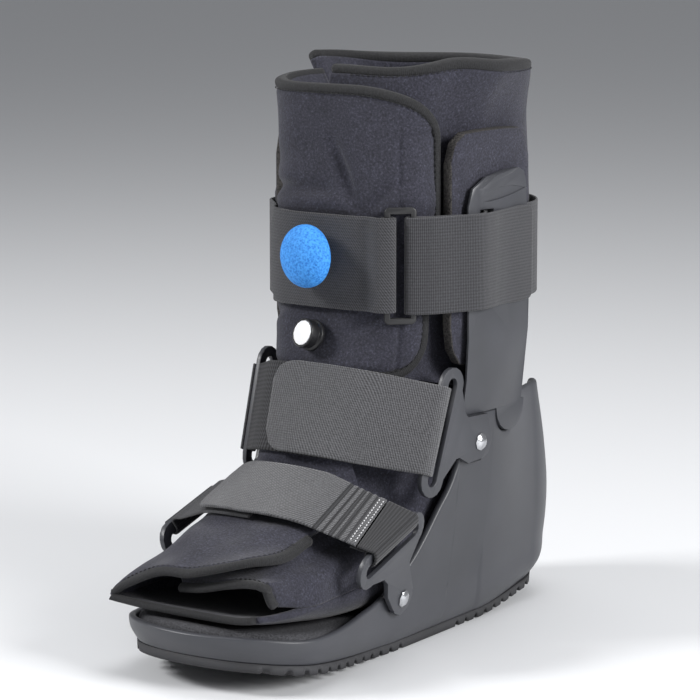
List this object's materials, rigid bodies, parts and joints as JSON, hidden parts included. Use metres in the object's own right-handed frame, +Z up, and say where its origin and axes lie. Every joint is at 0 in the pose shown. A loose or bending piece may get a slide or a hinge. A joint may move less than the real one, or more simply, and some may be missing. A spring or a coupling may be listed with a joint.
{
  "type": "medical walking boot",
  "caption": "Short rocker-soled walking boot with side struts, padded wrap liner, hook-and-loop straps on riveted rings, and a hand pump bulb with release valve on the calf flap.",
  "frame": {"origin": "On the ground, under the middle of the whole boot's bounding box.", "axes": "+Z up, -Y towards the toe, +X to the side that the calf flap laps towards; the boot stands on its tread on Z = 0."},
  "size_m": [0.13, 0.29, 0.2934],
  "materials": {
    "plastic": "satin moulded",
    "tread": "matt",
    "insole": "matt padded",
    "liner": "brushed felt on foam",
    "binding": "woven tape",
    "pad": "brushed felt on foam",
    "rivet": "polished",
    "webbing": "woven webbing",
    "pile": "loop pile",
    "elastic": "ribbed elastic",
    "bulb": "matt speckled",
    "valve": "knurled",
    "button": "smooth"
  },
  "bodies": {
    "boot": {"shell": "plastic", "outsole": "tread", "insole": "insole", "liner_body": "liner", "calf_flap": "liner", "foot_flap_left": "liner", "foot_flap_right": "liner", "binding_rim": "binding", "binding_flap": "binding", "binding_foot_left": "binding", "binding_foot_right": "binding", "binding_lip": "binding", "upright_right": "plastic", "upright_left": "plastic", "upright_pad_right": "pad", "upright_pad_left": "pad", "ankle_ring_right": "plastic", "ankle_ring_left": "plastic", "toe_ring_right": "plastic", "toe_ring_left": "plastic", "rivet_ankle_right": "rivet", "rivet_ankle_left": "rivet", "rivet_toe_right": "rivet", "rivet_toe_left": "rivet", "calf_strap": "webbing", "pump_panel": "webbing", "strap_loop": "plastic", "ankle_strap": "pile", "toe_strap": "pile", "toe_strap_elastic": "elastic", "toe_strap_under": "webbing", "pump_bulb": "bulb", "valve_body": "valve"},
    "button": {"valve_button": "button"}
  },
  "joints": [
    {"name": "valve_press", "type": "slide", "parent": "boot", "child": "button", "axis": [0.2147, 0.9313, -0.2941], "range_m": [0, 0.0015], "stiffness_N_per_m": 400}
  ]
}
